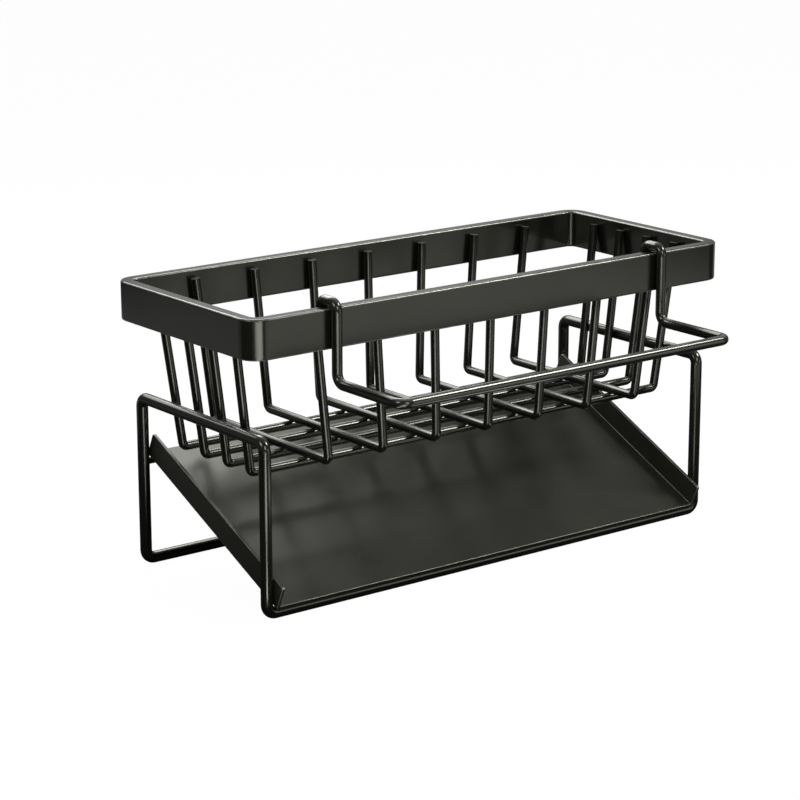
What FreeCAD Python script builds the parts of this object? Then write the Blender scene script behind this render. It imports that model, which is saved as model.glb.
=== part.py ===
import FreeCAD, Part
import math
import os

from FreeCAD import Vector

# Sponge holder of bent and welded steel wire, in millimetres.
# The origin is on the table under the middle of the rim; -Y is the front.

# Rim: a flat bar on edge, bent to a rounded rectangle
rim_length = 227.0
rim_depth = 90.0
rim_top_height = 112.0
band_height = 15.0
band_thickness = 5.0
rim_corner_radius = 7.6
rim_edge_radius = 0.8

# Basket: U-shaped wires welded inside the rim, the cross wires lying on the long wires
basket_wire_diameter = 3.4
basket_bend_inside_radius = 0.3
wire_end_drop = 3.0
basket_floor_height = 55.0
cross_wire_draw_in = 1.3
cross_wire_count = 7
cross_wire_margin = 32.2
cross_wire_gather = 6.6
long_wire_count = 4
long_wire_margin = 21.0
long_wire_gather = 1.9

# Base frame: one closed loop of thicker wire, with a raised bar on each side
base_wire_diameter = 4.5
base_bend_inside_radius = 1.25
base_end_inset = 8.4
base_front_inset = 4.7
side_bar_height = 66.0

# Rest rod between the back uprights, under the back of the tray
rest_rod_diameter = 2.5
tray_headroom = 7.4

# Drip tray: a sheet with folded sides, sloping down from the rest rod to the front bar
tray_sheet = 1.3
tray_fold_inside_radius = 0.3
tray_flange_height = 10.1
tray_front_overhang = 1.5
tray_back_overhang = 2.1
tray_side_clearance = 0.2
tray_corner_radius = 1.0
tray_edge_radius = 0.25
largest_edge_share = 0.4

# Towel rail: one wire hooked over the front of the rim, its tips just above the basket's wires
rail_wire_diameter = 3.9
rail_bend_inside_radius = 1.9
rail_end_inset = 35.4
rail_drop = 12.1
rail_reach = 39.7
hook_side_clearance = 0.35
hook_tip_clearance = 0.5
hook_tip_radius = 0.6

# Gaps left at welds and where a loose piece rests, and how far cuts run over
weld_gap = 0.05
rest_gap = 0.15
cut_overrun = 1.0

# Basket places: the legs of the long wires touch the rim's inside and the side bars
basket_wire_radius = basket_wire_diameter / 2
base_wire_radius = base_wire_diameter / 2
band_bottom = rim_top_height - band_height
wire_end_height = rim_top_height - wire_end_drop
cross_floor = basket_floor_height - basket_wire_radius
long_floor = cross_floor - basket_wire_diameter - weld_gap
wall_offset = band_thickness + basket_wire_radius + weld_gap
base_span = rim_length - 2 * base_end_inset
base_depth = rim_depth - 2 * base_front_inset
upright_x = base_span / 2
upright_y = base_depth / 2

long_wire_end_x = rim_length / 2 - wall_offset
leg_rise = wire_end_height - side_bar_height
leg_spread = long_wire_end_x - upright_x
bar_touch = base_wire_radius + basket_wire_radius + weld_gap
leg_lean = math.atan2(leg_spread, leg_rise) + math.asin(bar_touch / math.hypot(leg_spread, leg_rise))
long_wire_floor_x = long_wire_end_x - math.tan(leg_lean) * (wire_end_height - long_floor)
cross_wire_end_y = rim_depth / 2 - wall_offset
cross_wire_floor_y = cross_wire_end_y - cross_wire_draw_in

# Tray places: its underside lies on the front bar and on the rest rod, its folds inside the frame's bends
rest_rod_radius = rest_rod_diameter / 2
rest_rod_height = long_floor - basket_wire_radius - tray_headroom
rod_rise = rest_rod_height - base_wire_radius
rod_distance = math.hypot(base_depth, rod_rise)
radius_step = base_wire_radius - rest_rod_radius
tray_slope = math.atan2(rod_rise, base_depth) - math.asin(radius_step / rod_distance)
along_slope = Vector(0, math.cos(tray_slope), math.sin(tray_slope))
off_slope = Vector(0, -math.sin(tray_slope), math.cos(tray_slope))
tray_span = math.sqrt(rod_distance * rod_distance - radius_step * radius_step)
tray_length = tray_front_overhang + tray_span + tray_back_overhang
tray_width = base_span - base_wire_diameter - 2 * tray_side_clearance
tray_fold_outside_radius = base_bend_inside_radius - tray_side_clearance


def bent_edges(points, bend_radii):
    """Straight runs through the points, each corner rounded to its own bend radius."""
    edges = []
    start = points[0]
    for before, corner, after, bend_radius in zip(points, points[1:], points[2:], bend_radii):
        back = (before - corner).normalize()
        ahead = (after - corner).normalize()
        half_turn = (math.pi - back.getAngle(ahead)) / 2
        setback = bend_radius * math.tan(half_turn)
        bulge = bend_radius / math.cos(half_turn) - bend_radius
        bend_start = corner + back * setback
        bend_end = corner + ahead * setback
        bend_middle = corner + (back + ahead).normalize() * bulge
        edges.append(Part.LineSegment(start, bend_start).toShape())
        edges.append(Part.Arc(bend_start, bend_middle, bend_end).toShape())
        start = bend_end
    edges.append(Part.LineSegment(start, points[-1]).toShape())
    return edges


def round_wire(edges, diameter):
    """Round wire of the given diameter along a centre line that starts with a straight run."""
    path = Part.Wire(edges)
    start = edges[0].valueAt(edges[0].FirstParameter)
    heading = edges[0].tangentAt(edges[0].FirstParameter)
    section = Part.Wire(Part.Circle(start, heading, diameter / 2).toShape())
    return path.makePipeShell([section], True, False)


def rounded_block(length, depth, height, bottom, corner_radius):
    """Block centred on the origin in plan, with rounded upright corners."""
    block = Part.makeBox(length, depth, height, Vector(-length / 2, -depth / 2, bottom))
    uprights = [edge for edge in block.Edges if edge.BoundBox.ZLength > height / 2]
    return block.makeFillet(corner_radius, uprights)


def rim_band():
    """Bent flat bar with rounded edges."""
    outside = rounded_block(rim_length, rim_depth, band_height, band_bottom, rim_corner_radius)
    inside = rounded_block(
        rim_length - 2 * band_thickness,
        rim_depth - 2 * band_thickness,
        band_height + 2 * cut_overrun,
        band_bottom - cut_overrun,
        rim_corner_radius - band_thickness,
    )
    band = outside.cut(inside)
    level_edges = [edge for edge in band.Edges if edge.BoundBox.ZLength < band_height / 2]
    return band.makeFillet(rim_edge_radius, level_edges)


def row_places(count, room, margin):
    """Places of evenly spaced wires centred on zero, the outer ones a margin inside the room."""
    pitch = (room - 2 * margin) / (count - 1)
    return [(index - (count - 1) / 2) * pitch for index in range(count)]


def gathered_places(count, room, margin, gather):
    """Places of the wires at the rim and, drawn in towards the middle, at the basket's floor."""
    return list(zip(row_places(count, room, margin), row_places(count, room, margin + gather)))


def cross_wire_places():
    """Places of the cross wires along the rim."""
    return gathered_places(cross_wire_count, rim_length, cross_wire_margin, cross_wire_gather)


def long_wire_places():
    """Places of the long wires across the rim."""
    return gathered_places(long_wire_count, rim_depth, long_wire_margin, long_wire_gather)


def basket_wire(points):
    """One bent wire of the basket."""
    bend_radius = basket_bend_inside_radius + basket_wire_radius
    return round_wire(bent_edges(points, [bend_radius] * len(points)), basket_wire_diameter)


def cross_wire(end_x, floor_x):
    """U-shaped wire from the front of the rim, under the sponge, to the back."""
    return basket_wire([
        Vector(end_x, -cross_wire_end_y, wire_end_height),
        Vector(floor_x, -cross_wire_floor_y, cross_floor),
        Vector(floor_x, cross_wire_floor_y, cross_floor),
        Vector(end_x, cross_wire_end_y, wire_end_height),
    ])


def long_wire(end_y, floor_y):
    """U-shaped wire from one end of the rim, under the cross wires, to the other."""
    return basket_wire([
        Vector(-long_wire_end_x, end_y, wire_end_height),
        Vector(-long_wire_floor_x, floor_y, long_floor),
        Vector(long_wire_floor_x, floor_y, long_floor),
        Vector(long_wire_end_x, end_y, wire_end_height),
    ])


def base_frame():
    """Closed loop: front bar, uprights, side bar and back bar of one half, and its mirror image."""
    points = [
        Vector(0, -upright_y, base_wire_radius),
        Vector(upright_x, -upright_y, base_wire_radius),
        Vector(upright_x, -upright_y, side_bar_height),
        Vector(upright_x, upright_y, side_bar_height),
        Vector(upright_x, upright_y, base_wire_radius),
        Vector(0, upright_y, base_wire_radius),
    ]
    bend_radius = base_bend_inside_radius + base_wire_radius
    half = round_wire(bent_edges(points, [bend_radius] * len(points)), base_wire_diameter)
    other_half = half.mirror(Vector(0, 0, 0), Vector(1, 0, 0))
    return half.fuse(other_half).removeSplitter()


def tray_rest_rod():
    """Rod between the back uprights, its ends coped to fit them."""
    left_end = Vector(-upright_x, upright_y, rest_rod_height)
    rod = Part.makeCylinder(rest_rod_radius, base_span, left_end, Vector(1, 0, 0))
    cope_radius = base_wire_radius + weld_gap
    for side_x in (-upright_x, upright_x):
        foot = Vector(side_x, upright_y, 0)
        rod = rod.cut(Part.makeCylinder(cope_radius, side_bar_height, foot, Vector(0, 0, 1)))
    return rod


def folded_block(width, length, front, bottom, top, fold_radius):
    """Block along Y whose two lower long edges are rounded as the sheet's folds are."""
    block = Part.makeBox(width, length, top - bottom, Vector(-width / 2, front, bottom))
    fold_edges = [
        edge
        for edge in block.Edges
        if edge.BoundBox.YLength > length / 2 and edge.BoundBox.ZMax < (bottom + top) / 2
    ]
    return block.makeFillet(fold_radius, fold_edges)


def flange_corners(sheet):
    """Upper corners at the front and back ends of both flanges."""
    return [
        edge
        for edge in sheet.Edges
        if edge.BoundBox.ZMin > tray_flange_height - tray_sheet and edge.BoundBox.YLength < tray_sheet
    ]


def cut_outline(sheet):
    """Edges along the cut outline of the sheet, on both of its faces."""
    margin = tray_corner_radius + tray_edge_radius
    outline = []
    for edge in sheet.Edges:
        box = edge.BoundBox
        at_end = box.YMax < margin or box.YMin > tray_length - margin
        at_top = box.ZMin > tray_flange_height - margin
        through_sheet = box.YLength + box.ZLength < tray_sheet / 2 and edge.Length < tray_flange_height
        if (at_end or at_top) and not through_sheet:
            outline.append(edge)
    return outline


def drip_tray():
    """Folded sheet made level, then tilted onto the front bar and the rest rod."""
    outside = folded_block(
        tray_width,
        tray_length,
        0,
        0,
        tray_flange_height,
        tray_fold_outside_radius,
    )
    inside = folded_block(
        tray_width - 2 * tray_sheet,
        tray_length + 2 * cut_overrun,
        -cut_overrun,
        tray_sheet,
        tray_flange_height + cut_overrun,
        tray_fold_inside_radius,
    )
    sheet = outside.cut(inside)
    sheet = sheet.makeFillet(tray_corner_radius, flange_corners(sheet))
    edge_radius = min(tray_edge_radius, tray_sheet * largest_edge_share)
    sheet = sheet.makeFillet(edge_radius, cut_outline(sheet))
    sheet.rotate(Vector(0, 0, 0), Vector(1, 0, 0), math.degrees(tray_slope))
    front_bar = Vector(0, -upright_y, base_wire_radius)
    front_rest = front_bar + off_slope * (base_wire_radius + rest_gap)
    sheet.translate(front_rest - along_slope * tray_front_overhang)
    return sheet


def towel_rail():
    """Front bar on two arms, each hanging on a hook that fits over the rim's rounded edges."""
    rail_radius = rail_wire_diameter / 2
    leg_offset = band_thickness / 2 + hook_side_clearance + rail_radius
    inner_y = -(rim_depth - band_thickness) / 2 + leg_offset
    outer_y = -(rim_depth - band_thickness) / 2 - leg_offset
    rail_y = -rim_depth / 2 - rail_reach
    tip_height = wire_end_height + hook_tip_clearance
    crown_height = rim_top_height + rest_gap + rail_radius
    rail_height = band_bottom - rail_drop
    hook_x = rim_length / 2 - rail_end_inset
    hook_bend = rim_edge_radius + hook_side_clearance + rail_radius
    arm_bend = rail_bend_inside_radius + rail_radius

    def arm_points(x):
        """Corners from the hook's tip over the rim and down the arm to the front bar."""
        return [
            Vector(x, inner_y, tip_height),
            Vector(x, inner_y, crown_height),
            Vector(x, outer_y, crown_height),
            Vector(x, outer_y, rail_height),
            Vector(x, rail_y, rail_height),
        ]

    points = arm_points(-hook_x) + arm_points(hook_x)[::-1]
    arm_bends = [hook_bend, hook_bend, arm_bend, arm_bend]
    rail = round_wire(bent_edges(points, arm_bends + arm_bends[::-1]), rail_wire_diameter)
    tip_edges = [edge for edge in rail.Edges if abs(edge.BoundBox.ZMax - tip_height) < hook_tip_radius]
    return rail.makeFillet(hook_tip_radius, tip_edges)


def sponge_holder():
    """All pieces by name."""
    pieces = {
        "rim_band": rim_band(),
        "base_frame": base_frame(),
        "tray_rest_rod": tray_rest_rod(),
        "drip_tray": drip_tray(),
        "towel_rail": towel_rail(),
    }
    for number, places in enumerate(cross_wire_places(), start=1):
        pieces[f"cross_wire_{number}"] = cross_wire(*places)
    for number, places in enumerate(long_wire_places(), start=1):
        pieces[f"long_wire_{number}"] = long_wire(*places)
    return pieces


os.makedirs("parts", exist_ok=True)
for name, shape in sponge_holder().items():
    shape.exportStep(os.path.join("parts", name + ".step"))
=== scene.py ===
import math

import bmesh
import bpy
from bpy.props import FloatProperty, FloatVectorProperty, PointerProperty
from mathutils import Matrix, Vector

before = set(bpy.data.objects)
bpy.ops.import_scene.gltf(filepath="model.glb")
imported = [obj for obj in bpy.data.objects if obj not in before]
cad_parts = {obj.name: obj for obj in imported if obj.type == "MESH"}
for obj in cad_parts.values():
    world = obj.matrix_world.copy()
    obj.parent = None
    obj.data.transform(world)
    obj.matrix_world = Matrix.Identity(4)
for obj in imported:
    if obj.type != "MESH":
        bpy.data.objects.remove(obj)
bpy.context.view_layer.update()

bl_info = {
    "name": "Wire sponge holder",
    "version": (1, 0, 0),
    "blender": (4, 5, 0),
    "location": "3D View > Sidebar > Sponge Holder",
    "description": "Coats the pieces of a wire sponge holder and sets it on a studio floor",
    "category": "Object",
}

# Pieces of each finish, by their names in the frame
rim_pieces = ("rim_band",)
basket_pieces = tuple(name for name in sorted(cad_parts) if "_wire_" in name)
base_pieces = ("base_frame", "tray_rest_rod")
tray_pieces = ("drip_tray",)
rail_pieces = ("towel_rail",)

# Slope of the tray, from its broadest face
tray_face = max(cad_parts["drip_tray"].data.polygons, key=lambda face: face.area).normal
tray_lean = math.atan(-tray_face.y / tray_face.z)

# Lamps: name, place, point that it faces, width and height, power in watts.
# A card lies on the floor, faces up and is mirrored in the upright wires and faces.
lamps = (
    ("top_softbox", (0.03, 0.222, 0.31), (0.03, 0.222, 0.0), (0.259, 0.226), 1.03),
    ("back_softbox", (0.1, 0.62, 0.57), (0.0, 0.0, 0.08), (1.0, 0.28), 3.2),
    ("rim_softbox", (0.48, 0.62, 0.33), (0.0, 0.0, 0.11), (0.4, 0.3), 0.11),
    ("front_softbox", (-0.35, -1.5, 0.8), (0.0, 0.0, 0.08), (0.6, 0.6), 8.0),
    ("side_strip", (0.65, -0.46, 0.82), (0.0, 0.0, 0.08), (0.35, 0.2), 9.5),
    ("low_screen", (0.9, -1.2, 0.2), (0.0, 0.0, 0.2), (0.6, 0.38), 1.7),
    ("far_card", (-0.25, -0.42, 0.004), (-0.25, -0.42, 1.0), (0.27, 0.17), 0.85),
    ("outer_card", (-0.45, -0.75, 0.002), (-0.45, -0.75, 1.0), (0.66, 0.5), 4.6),
    ("middle_card", (-0.173, -0.23, 0.004), (-0.1704, -0.2203, 1.0), (0.075, 0.207), 0.32),
    ("near_card", (-0.13, -0.096, 0.001), (-0.1264, -0.0868, 1.0), (0.012, 0.0727), 0.027),
    ("right_card", (0.014, -0.149, 0.001), (0.0205, -0.1414, 1.0), (0.032, 0.134), 0.05),
    ("front_card", (0.21, -0.415, 0.002), (0.21, -0.415, 1.0), (0.42, 0.37), 0.545),
    ("left_card", (-0.36, 0.3, 0.002), (-0.36, 0.3, 1.0), (0.25, 0.3), 0.07),
    ("back_card", (-0.1, 0.33, 0.002), (-0.1, 0.33, 1.0), (0.25, 0.25), 0.08),
    ("rear_card", (0.15, 0.33, 0.002), (0.15, 0.33, 1.0), (0.25, 0.25), 0.08),
    ("end_card", (0.62, 0.2, 0.002), (0.62, 0.2, 1.0), (0.5, 0.5), 0.32),
    ("left_softbox", (-1.2, -0.2, 0.9), (0.0, 0.0, 0.08), (0.5, 0.5), 6.0),
)

# Tint of the coat's reflections, a little short of blue
reflection_tint = (1.0, 1.02, 0.86, 1.0)

# Room as the lens sees it, and how many sides the round floor has
white = (1.0, 1.0, 1.0)
floor_sides = 96

# Colour sockets of the mix node, which come after those for numbers and vectors
mix_first, mix_second, mix_result = 6, 7, 2


def add_node(tree, kind, **values):
    """Adds one shader node and sets its properties."""
    node = tree.nodes.new(kind)
    for key, value in values.items():
        setattr(node, key, value)
    return node


def add_math(tree, operation, first, second=0.0, clamp=False):
    """Adds a math node of one or two inputs, each a socket or a number, and returns its result."""
    node = add_node(tree, "ShaderNodeMath", operation=operation, use_clamp=clamp)
    for socket, value in zip(node.inputs, (first, second)):
        if isinstance(value, bpy.types.NodeSocket):
            tree.links.new(value, socket)
        else:
            socket.default_value = value
    return node.outputs["Value"]


def add_blend(tree, share, first, second):
    """Blends two colours, each a socket or a colour, by a share from a socket."""
    node = add_node(tree, "ShaderNodeMix", data_type="RGBA")
    tree.links.new(share, node.inputs["Factor"])
    for socket, value in ((node.inputs[mix_first], first), (node.inputs[mix_second], second)):
        if isinstance(value, bpy.types.NodeSocket):
            tree.links.new(value, socket)
        else:
            socket.default_value = (*value, 1.0)
    return node.outputs[mix_result]


def add_range(tree, value, low=0.0, high=1.0, to_low=0.0, to_high=1.0):
    """Maps a value from one range to another, with soft ends."""
    node = add_node(tree, "ShaderNodeMapRange", interpolation_type="SMOOTHSTEP")
    tree.links.new(value, node.inputs["Value"])
    for label, number in (
        ("From Min", low), ("From Max", high), ("To Min", to_low), ("To Max", to_high)
    ):
        node.inputs[label].default_value = number
    return node.outputs["Result"]


def add_axes(tree, vector):
    """Splits a vector and returns its three parts by axis."""
    node = add_node(tree, "ShaderNodeSeparateXYZ")
    tree.links.new(vector, node.inputs["Vector"])
    return node.outputs


def add_noise(tree, size, detail):
    """Noise on object coordinates whose features are about as large as the size socket says."""
    coords = add_node(tree, "ShaderNodeTexCoord")
    noise = add_node(tree, "ShaderNodeTexNoise")
    noise.inputs["Detail"].default_value = detail
    tree.links.new(coords.outputs["Object"], noise.inputs["Vector"])
    tree.links.new(add_math(tree, "DIVIDE", 1.0, size), noise.inputs["Scale"])
    return noise.outputs["Fac"]


def new_group(name, inputs, outputs):
    """Starts a shader node group with named number inputs and outputs."""
    tree = bpy.data.node_groups.new(name, "ShaderNodeTree")
    for label, default in inputs:
        socket = tree.interface.new_socket(label, in_out="INPUT", socket_type="NodeSocketFloat")
        socket.default_value = default
    for label in outputs:
        tree.interface.new_socket(label, in_out="OUTPUT", socket_type="NodeSocketFloat")
    return tree, add_node(tree, "NodeGroupInput"), add_node(tree, "NodeGroupOutput")


def coat_grain_group():
    """Orange peel of a baked powder coat and the slow change of its thickness."""
    name = "Coat grain"
    if name in bpy.data.node_groups:
        return bpy.data.node_groups[name]
    sizes = (("Grain Size", 0.001), ("Mottle Size", 0.02))
    tree, into, out = new_group(name, sizes, ("Grain", "Mottle"))
    grain = add_noise(tree, into.outputs["Grain Size"], detail=2.0)
    tree.links.new(grain, out.inputs["Grain"])
    mottle = add_noise(tree, into.outputs["Mottle Size"], detail=1.0)
    tree.links.new(add_range(tree, mottle), out.inputs["Mottle"])
    return tree


def edge_rub_and_highlight_group():
    """Patches along edges where the coat draws thin, which also paint light highlight lines on
    those edges.
    """
    name = "Edge rub"
    if name in bpy.data.node_groups:
        return bpy.data.node_groups[name]
    tree, into, out = new_group(name, (("Edge", 0.0), ("Patch Size", 0.006)), ("Rub",))
    noise = add_noise(tree, into.outputs["Patch Size"], detail=2.0)
    patches = add_range(tree, noise, low=0.42, high=0.66, to_low=0.45)
    rub = add_math(tree, "MULTIPLY", into.outputs["Edge"], patches, clamp=True)
    tree.links.new(rub, out.inputs["Rub"])
    return tree


def dust_and_sheen_group():
    """Thin dust on whatever faces up; laid on thick, it is a painted sheen that lightens the tops
    of the wires.
    """
    name = "Settled dust"
    if name in bpy.data.node_groups:
        return bpy.data.node_groups[name]
    tree, into, out = new_group(name, (("Patch Size", 0.01),), ("Dust",))
    coords = add_node(tree, "ShaderNodeTexCoord")
    upward = add_range(tree, add_axes(tree, coords.outputs["Normal"])["Z"], low=0.55)
    patches = add_range(tree, add_noise(tree, into.outputs["Patch Size"], detail=1.0))
    tree.links.new(add_math(tree, "MULTIPLY", upward, patches), out.inputs["Dust"])
    return tree


def level_edge(tree):
    """Mask of the rounded edges between upright and level faces, along which the rim gets painted
    highlight lines.
    """
    coords = add_node(tree, "ShaderNodeTexCoord")
    steep = add_math(tree, "ABSOLUTE", add_axes(tree, coords.outputs["Normal"])["Z"])
    rest = add_math(tree, "SUBTRACT", 1.0, add_math(tree, "MULTIPLY", steep, steep))
    both = add_math(tree, "MULTIPLY", steep, add_math(tree, "SQRT", rest))
    return add_range(tree, both, low=0.15, high=0.45)


def sheet_edge(tree, lean):
    """Mask of the rounded edges and the folds of a sheet that leans about X, along which the tray
    gets painted highlight lines.
    """
    coords = add_node(tree, "ShaderNodeTexCoord")
    level = add_node(tree, "ShaderNodeVectorRotate", rotation_type="X_AXIS")
    level.inputs["Angle"].default_value = -lean
    tree.links.new(coords.outputs["Normal"], level.inputs["Vector"])
    axes = add_axes(tree, level.outputs["Vector"])
    across, along, off = (add_math(tree, "ABSOLUTE", axes[axis]) for axis in "XYZ")
    flattest = add_math(tree, "MAXIMUM", add_math(tree, "MAXIMUM", across, along), off)
    return add_range(tree, flattest, low=0.8, high=0.98, to_low=1.0, to_high=0.0)


def coat_material(name, colour, roughness, dust_share, settings, edge=None, rub_and_highlight_share=0.0):
    """Black baked coat: orange peel, uneven gloss, rubbed edges lightened into painted highlight
    lines, and a little dust that on the wires is laid on thick as a painted sheen on their tops.
    """
    material = bpy.data.materials.new(name)
    material.use_nodes = True
    tree = material.node_tree
    shader = tree.nodes["Principled BSDF"]
    shader.inputs["Specular Tint"].default_value = reflection_tint

    grain = add_node(tree, "ShaderNodeGroup", node_tree=coat_grain_group())
    grain.inputs["Grain Size"].default_value = settings.grain_size
    grain.inputs["Mottle Size"].default_value = settings.mottle_size
    mottle = grain.outputs["Mottle"]
    dust = add_node(tree, "ShaderNodeGroup", node_tree=dust_and_sheen_group())
    dust.inputs["Patch Size"].default_value = settings.dust_patch_size

    darker = [channel * (1.0 - settings.mottle_colour_share) for channel in colour]
    lighter = [channel * (1.0 + settings.mottle_colour_share) for channel in colour]
    paint = add_blend(tree, mottle, darker, lighter)
    # Dust colour over upward faces; at the wires' share it is a painted sheen that lightens their
    # tops
    dust_and_sheen = add_math(tree, "MULTIPLY", dust.outputs["Dust"], dust_share)
    paint = add_blend(tree, dust_and_sheen, paint, settings.dust_and_sheen_colour)
    smoother = roughness * (1.0 - settings.mottle_gloss_share)
    rougher = roughness * (1.0 + settings.mottle_gloss_share)
    gloss = add_range(tree, mottle, to_low=smoother, to_high=rougher)
    # Lighter colour along the edges: wear in patches, and a painted highlight line where light
    # would catch the rounded edge
    if edge is not None:
        rub = add_node(tree, "ShaderNodeGroup", node_tree=edge_rub_and_highlight_group())
        tree.links.new(edge(tree), rub.inputs["Edge"])
        rub.inputs["Patch Size"].default_value = settings.rub_patch_size
        rub_and_highlight = add_math(tree, "MULTIPLY", rub.outputs["Rub"], rub_and_highlight_share)
        paint = add_blend(tree, rub_and_highlight, paint, settings.rub_and_highlight_colour)
        polish = add_math(tree, "MULTIPLY", rub.outputs["Rub"], settings.rub_polish)
        gloss = add_math(tree, "SUBTRACT", gloss, polish)
    tree.links.new(paint, shader.inputs["Base Color"])
    tree.links.new(gloss, shader.inputs["Roughness"])

    bump = add_node(tree, "ShaderNodeBump")
    bump.inputs["Distance"].default_value = settings.peel_height
    tree.links.new(grain.outputs["Grain"], bump.inputs["Height"])
    tree.links.new(bump.outputs["Normal"], shader.inputs["Normal"])
    return material


def coat_pieces(names, material):
    """Gives frame pieces a material."""
    for name in names:
        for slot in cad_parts[name].material_slots:
            slot.material = material


class CoatSettings(bpy.types.PropertyGroup):
    """Colours, gloss and grain of the baked coat"""

    rim_colour: FloatVectorProperty(
        name="Rim colour",
        description="Coat of the flat rim",
        subtype="COLOR",
        default=(0.004, 0.0042, 0.0034),
    )
    wire_colour: FloatVectorProperty(
        name="Basket colour",
        description="Coat of the basket wires",
        subtype="COLOR",
        default=(0.003, 0.0031, 0.0026),
    )
    base_colour: FloatVectorProperty(
        name="Base colour",
        description="Coat of the base frame",
        subtype="COLOR",
        default=(0.003, 0.0031, 0.0026),
    )
    tray_colour: FloatVectorProperty(
        name="Tray colour",
        description="Coat of the drip tray",
        subtype="COLOR",
        default=(0.0146, 0.0151, 0.0118),
    )
    rail_colour: FloatVectorProperty(
        name="Rail colour",
        description="Coat of the towel rail",
        subtype="COLOR",
        default=(0.003, 0.0031, 0.0026),
    )
    # Colour of the dust, and of the painted sheen along the tops of the wires
    dust_and_sheen_colour: FloatVectorProperty(
        name="Dust colour",
        description="Fine dust on upper faces",
        subtype="COLOR",
        default=(0.25, 0.25, 0.24),
    )
    # Colour of worn edges, which also paints highlight lines along the rim's and the tray's edges
    rub_and_highlight_colour: FloatVectorProperty(
        name="Rub colour",
        description="Thin coat along rubbed edges",
        subtype="COLOR",
        default=(0.42, 0.42, 0.39),
    )
    rim_roughness: FloatProperty(
        name="Rim roughness",
        description="How far the rim blurs what it mirrors",
        subtype="FACTOR",
        default=0.2,
        min=0.0,
        max=1.0,
    )
    wire_roughness: FloatProperty(
        name="Wire roughness",
        description="How far the basket, the base and the rail blur what they mirror",
        subtype="FACTOR",
        default=0.2,
        min=0.0,
        max=1.0,
    )
    tray_roughness: FloatProperty(
        name="Tray roughness",
        description="How far the tray blurs what it mirrors",
        subtype="FACTOR",
        default=0.3,
        min=0.0,
        max=1.0,
    )
    grain_size: FloatProperty(
        name="Grain size",
        description="Width of the orange peel",
        unit="LENGTH",
        default=0.0009,
        min=0.0001,
    )
    peel_height: FloatProperty(
        name="Peel height",
        description="Depth of the orange peel",
        unit="LENGTH",
        default=0.000003,
        min=0.0,
    )
    mottle_size: FloatProperty(
        name="Mottle size",
        description="Width of slow changes of colour and gloss",
        unit="LENGTH",
        default=0.018,
        min=0.001,
    )
    mottle_colour_share: FloatProperty(
        name="Mottle in colour",
        description="How far the colour changes to both sides",
        subtype="FACTOR",
        default=0.06,
        min=0.0,
        max=1.0,
    )
    mottle_gloss_share: FloatProperty(
        name="Mottle in gloss",
        description="How far the roughness changes to both sides",
        subtype="FACTOR",
        default=0.1,
        min=0.0,
        max=1.0,
    )
    rub_patch_size: FloatProperty(
        name="Rub patch",
        description="Length of rubbed patches",
        unit="LENGTH",
        default=0.006,
        min=0.0005,
    )
    rub_polish: FloatProperty(
        name="Rub polish",
        description="How much roughness a rubbed edge loses",
        subtype="FACTOR",
        default=0.08,
        min=0.0,
        max=1.0,
    )
    # How far the rim's edges lighten with wear and with painted highlight lines
    rim_rub_and_highlight_share: FloatProperty(
        name="Rim rub",
        description="How far the rim's rubbed edges lighten",
        subtype="FACTOR",
        default=0.25,
        min=0.0,
        max=1.0,
    )
    # How far the tray's edges and folds lighten with wear and with painted highlight lines
    tray_rub_and_highlight_share: FloatProperty(
        name="Tray rub",
        description="How far the tray's rubbed edges lighten",
        subtype="FACTOR",
        default=0.7,
        min=0.0,
        max=1.0,
    )
    tray_slope: FloatProperty(
        name="Tray slope",
        description="How far the tray leans to the front",
        subtype="ANGLE",
        default=tray_lean,
    )
    dust_patch_size: FloatProperty(
        name="Dust patch",
        description="Width of dust patches",
        unit="LENGTH",
        default=0.008,
        min=0.0005,
    )
    dust_share: FloatProperty(
        name="Dust",
        description="Dust on flat upper faces",
        subtype="FACTOR",
        default=0.006,
        min=0.0,
        max=1.0,
    )
    # At this share the dust is mostly a painted sheen: it lightens the tops of the basket, base
    # and rail wires as if light fell on them
    wire_dust_and_sheen_share: FloatProperty(
        name="Wire dust",
        description="Dust along the tops of wires",
        subtype="FACTOR",
        default=0.5,
        min=0.0,
        max=1.0,
    )


class StageSettings(bpy.types.PropertyGroup):
    """Floor, lamps and camera"""

    floor_colour: FloatVectorProperty(
        name="Floor colour",
        description="Pale studio floor",
        subtype="COLOR",
        default=(0.9, 0.9, 0.9),
    )
    bounce_colour: FloatVectorProperty(
        name="Bounce colour",
        description="Light that the floor gives back",
        subtype="COLOR",
        default=(0.04, 0.04, 0.04),
    )
    floor_radius: FloatProperty(
        name="Floor radius",
        description="Reach of the floor",
        unit="LENGTH",
        default=8.0,
        min=1.0,
    )
    floor_glow: FloatProperty(
        name="Floor glow",
        description="Share of plain white in the floor",
        subtype="FACTOR",
        default=0.98,
        min=0.0,
        max=1.0,
    )
    room_level: FloatProperty(
        name="Room level",
        description="Grey level of the studio around",
        default=0.22,
        min=0.0,
    )
    lamp_level: FloatProperty(
        name="Lamp level",
        description="Brightness of all lamps together",
        default=1.0,
        min=0.0,
    )
    camera_place: FloatVectorProperty(
        name="Camera place",
        description="Where the camera stands",
        subtype="TRANSLATION",
        unit="LENGTH",
        default=(-0.616295, -0.781690, 0.320537),
        precision=6,
    )
    camera_target: FloatVectorProperty(
        name="Camera target",
        description="Point in the middle of the picture",
        subtype="TRANSLATION",
        unit="LENGTH",
        default=(-0.008591, 0.006450, 0.056218),
        precision=6,
    )
    camera_roll: FloatProperty(
        name="Camera roll",
        description="Turn about the line of sight",
        subtype="ANGLE",
        default=math.radians(-0.1102),
    )
    camera_lens: FloatProperty(
        name="Lens",
        description="Focal length in millimetres",
        default=119.135,
        min=10.0,
    )
    sensor_width: FloatProperty(
        name="Sensor width",
        description="Width of the camera's sensor in millimetres",
        default=36.0,
        min=1.0,
    )


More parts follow.
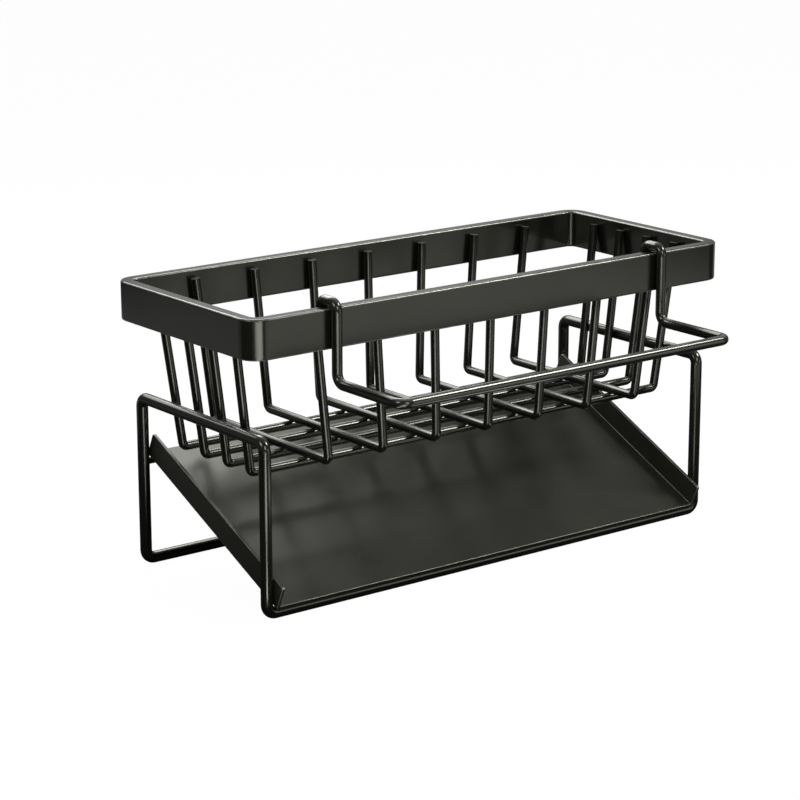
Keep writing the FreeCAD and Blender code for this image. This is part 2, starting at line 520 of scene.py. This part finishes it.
class SpongeHolderSettings(bpy.types.PropertyGroup):
    """Everything that the panel shows"""

    coat: PointerProperty(type=CoatSettings, name="Coat", description="Finish of the pieces")
    stage: PointerProperty(type=StageSettings, name="Stage", description="Floor, lamps and camera")


class SPONGE_OT_coat_rim(bpy.types.Operator):
    """Coat the flat rim, with rubbed edges that carry painted highlight lines"""

    bl_idname = "sponge_holder.coat_rim"
    bl_label = "Coat the rim"

    def execute(self, context):
        coat = context.scene.sponge_holder.coat
        coat_pieces(rim_pieces, coat_material(
            "rim_coat", coat.rim_colour, coat.rim_roughness, coat.dust_share, coat,
            level_edge, coat.rim_rub_and_highlight_share
        ))
        return {"FINISHED"}


class SPONGE_OT_coat_basket(bpy.types.Operator):
    """Coat the basket wires, with a painted sheen along their tops"""

    bl_idname = "sponge_holder.coat_basket"
    bl_label = "Coat the basket wires"

    def execute(self, context):
        coat = context.scene.sponge_holder.coat
        coat_pieces(basket_pieces, coat_material(
            "basket_wire_coat", coat.wire_colour, coat.wire_roughness, coat.wire_dust_and_sheen_share, coat
        ))
        return {"FINISHED"}


class SPONGE_OT_coat_base(bpy.types.Operator):
    """Coat the base frame and the rod under the tray, with a painted sheen along their tops"""

    bl_idname = "sponge_holder.coat_base"
    bl_label = "Coat the base frame"

    def execute(self, context):
        coat = context.scene.sponge_holder.coat
        coat_pieces(base_pieces, coat_material(
            "base_wire_coat", coat.base_colour, coat.wire_roughness, coat.wire_dust_and_sheen_share, coat
        ))
        return {"FINISHED"}


class SPONGE_OT_coat_tray(bpy.types.Operator):
    """Coat the drip tray, with rubbed edges and folds that carry painted highlight lines"""

    bl_idname = "sponge_holder.coat_tray"
    bl_label = "Coat the drip tray"

    def execute(self, context):
        coat = context.scene.sponge_holder.coat
        lean = coat.tray_slope
        coat_pieces(tray_pieces, coat_material(
            "tray_coat", coat.tray_colour, coat.tray_roughness, coat.dust_share, coat,
            lambda tree: sheet_edge(tree, lean), coat.tray_rub_and_highlight_share
        ))
        return {"FINISHED"}


class SPONGE_OT_coat_rail(bpy.types.Operator):
    """Coat the towel rail, with a painted sheen along its tops"""

    bl_idname = "sponge_holder.coat_rail"
    bl_label = "Coat the towel rail"

    def execute(self, context):
        coat = context.scene.sponge_holder.coat
        coat_pieces(rail_pieces, coat_material(
            "rail_coat", coat.rail_colour, coat.wire_roughness, coat.wire_dust_and_sheen_share, coat
        ))
        return {"FINISHED"}


def floor_material(colour, bounce, glow):
    """Floor that looks white to the lens and takes the shadow, and gives little light back."""
    material = bpy.data.materials.new("studio_floor")
    material.use_nodes = True
    tree = material.node_tree
    tree.nodes.clear()
    seen = add_node(tree, "ShaderNodeLightPath").outputs["Is Camera Ray"]
    matt = add_node(tree, "ShaderNodeBsdfDiffuse")
    tree.links.new(add_blend(tree, seen, bounce, colour), matt.inputs["Color"])
    plain = add_node(tree, "ShaderNodeEmission")
    mix = add_node(tree, "ShaderNodeMixShader")
    out = add_node(tree, "ShaderNodeOutputMaterial")
    share, first, second = mix.inputs
    tree.links.new(add_math(tree, "MULTIPLY", seen, glow), share)
    tree.links.new(matt.outputs["BSDF"], first)
    tree.links.new(plain.outputs["Emission"], second)
    tree.links.new(mix.outputs["Shader"], out.inputs["Surface"])
    return material


def room_world(level):
    """Studio room that is white to the lens and a dim grey to the pieces."""
    world = bpy.data.worlds.new("studio_room")
    world.use_nodes = True
    tree = world.node_tree
    seen = add_node(tree, "ShaderNodeLightPath").outputs["Is Camera Ray"]
    room = add_blend(tree, seen, (level, level, level), white)
    tree.links.new(room, tree.nodes["Background"].inputs["Color"])
    return world


def add_softbox(name, place, aim, size, power):
    """Rectangular lamp at a place, turned to a point."""
    lamp = bpy.data.lights.new(name, "AREA")
    lamp.shape = "RECTANGLE"
    lamp.size, lamp.size_y = size
    lamp.energy = power
    holder = bpy.data.objects.new(name, lamp)
    holder.location = place
    holder.rotation_euler = (Vector(aim) - Vector(place)).to_track_quat("-Z", "Y").to_euler()
    holder.visible_camera = False
    bpy.context.scene.collection.objects.link(holder)


class SPONGE_OT_set_stage(bpy.types.Operator):
    """Lay the floor, hang the lamps and stand the camera"""

    bl_idname = "sponge_holder.set_stage"
    bl_label = "Set the stage"

    def execute(self, context):
        scene = context.scene
        stage = scene.sponge_holder.stage
        scene.view_settings.view_transform = "Standard"

        disc = bmesh.new()
        bmesh.ops.create_circle(
            disc, cap_ends=True, segments=floor_sides, radius=stage.floor_radius
        )
        mesh = bpy.data.meshes.new("studio_floor")
        disc.to_mesh(mesh)
        disc.free()
        mesh.materials.append(
            floor_material(stage.floor_colour, stage.bounce_colour, stage.floor_glow)
        )
        floor = bpy.data.objects.new("studio_floor", mesh)
        scene.collection.objects.link(floor)

        scene.world = room_world(stage.room_level)
        for name, place, aim, size, power in lamps:
            add_softbox(name, place, aim, size, power * stage.lamp_level)

        camera = bpy.data.objects.new("photo_camera", bpy.data.cameras.new("photo_camera"))
        camera.data.sensor_width = stage.sensor_width
        camera.data.sensor_fit = "HORIZONTAL"
        camera.data.lens = stage.camera_lens
        sight = Vector(stage.camera_target) - Vector(stage.camera_place)
        facing = sight.to_track_quat("-Z", "Y").to_matrix().to_4x4()
        roll = Matrix.Rotation(stage.camera_roll, 4, "Z")
        camera.matrix_world = Matrix.Translation(stage.camera_place) @ (facing @ roll)
        scene.collection.objects.link(camera)
        scene.camera = camera
        return {"FINISHED"}


class SPONGE_PT_panel(bpy.types.Panel):
    """Lists the steps and their settings"""

    bl_idname = "SPONGE_PT_panel"
    bl_label = "Sponge Holder"
    bl_space_type = "VIEW_3D"
    bl_region_type = "UI"
    bl_category = "Sponge Holder"

    def draw(self, context):
        settings = context.scene.sponge_holder
        for step in steps:
            self.layout.operator(step.bl_idname)
        for group in (settings.coat, settings.stage):
            box = self.layout.box()
            for key in group.__annotations__:
                box.prop(group, key)


steps = (
    SPONGE_OT_coat_rim,
    SPONGE_OT_coat_basket,
    SPONGE_OT_coat_base,
    SPONGE_OT_coat_tray,
    SPONGE_OT_coat_rail,
    SPONGE_OT_set_stage,
)
classes = (CoatSettings, StageSettings, SpongeHolderSettings, *steps, SPONGE_PT_panel)


def register():
    """Adds the classes and the settings to Blender."""
    for cls in classes:
        bpy.utils.register_class(cls)
    bpy.types.Scene.sponge_holder = PointerProperty(type=SpongeHolderSettings)


def unregister():
    """Takes the classes and the settings out again."""
    del bpy.types.Scene.sponge_holder
    for cls in reversed(classes):
        bpy.utils.unregister_class(cls)


def main():
    """Coats every piece and sets the stage."""
    register()
    bpy.ops.sponge_holder.coat_rim()
    bpy.ops.sponge_holder.coat_basket()
    bpy.ops.sponge_holder.coat_base()
    bpy.ops.sponge_holder.coat_tray()
    bpy.ops.sponge_holder.coat_rail()
    bpy.ops.sponge_holder.set_stage()


if __name__ == "__main__":
    main()
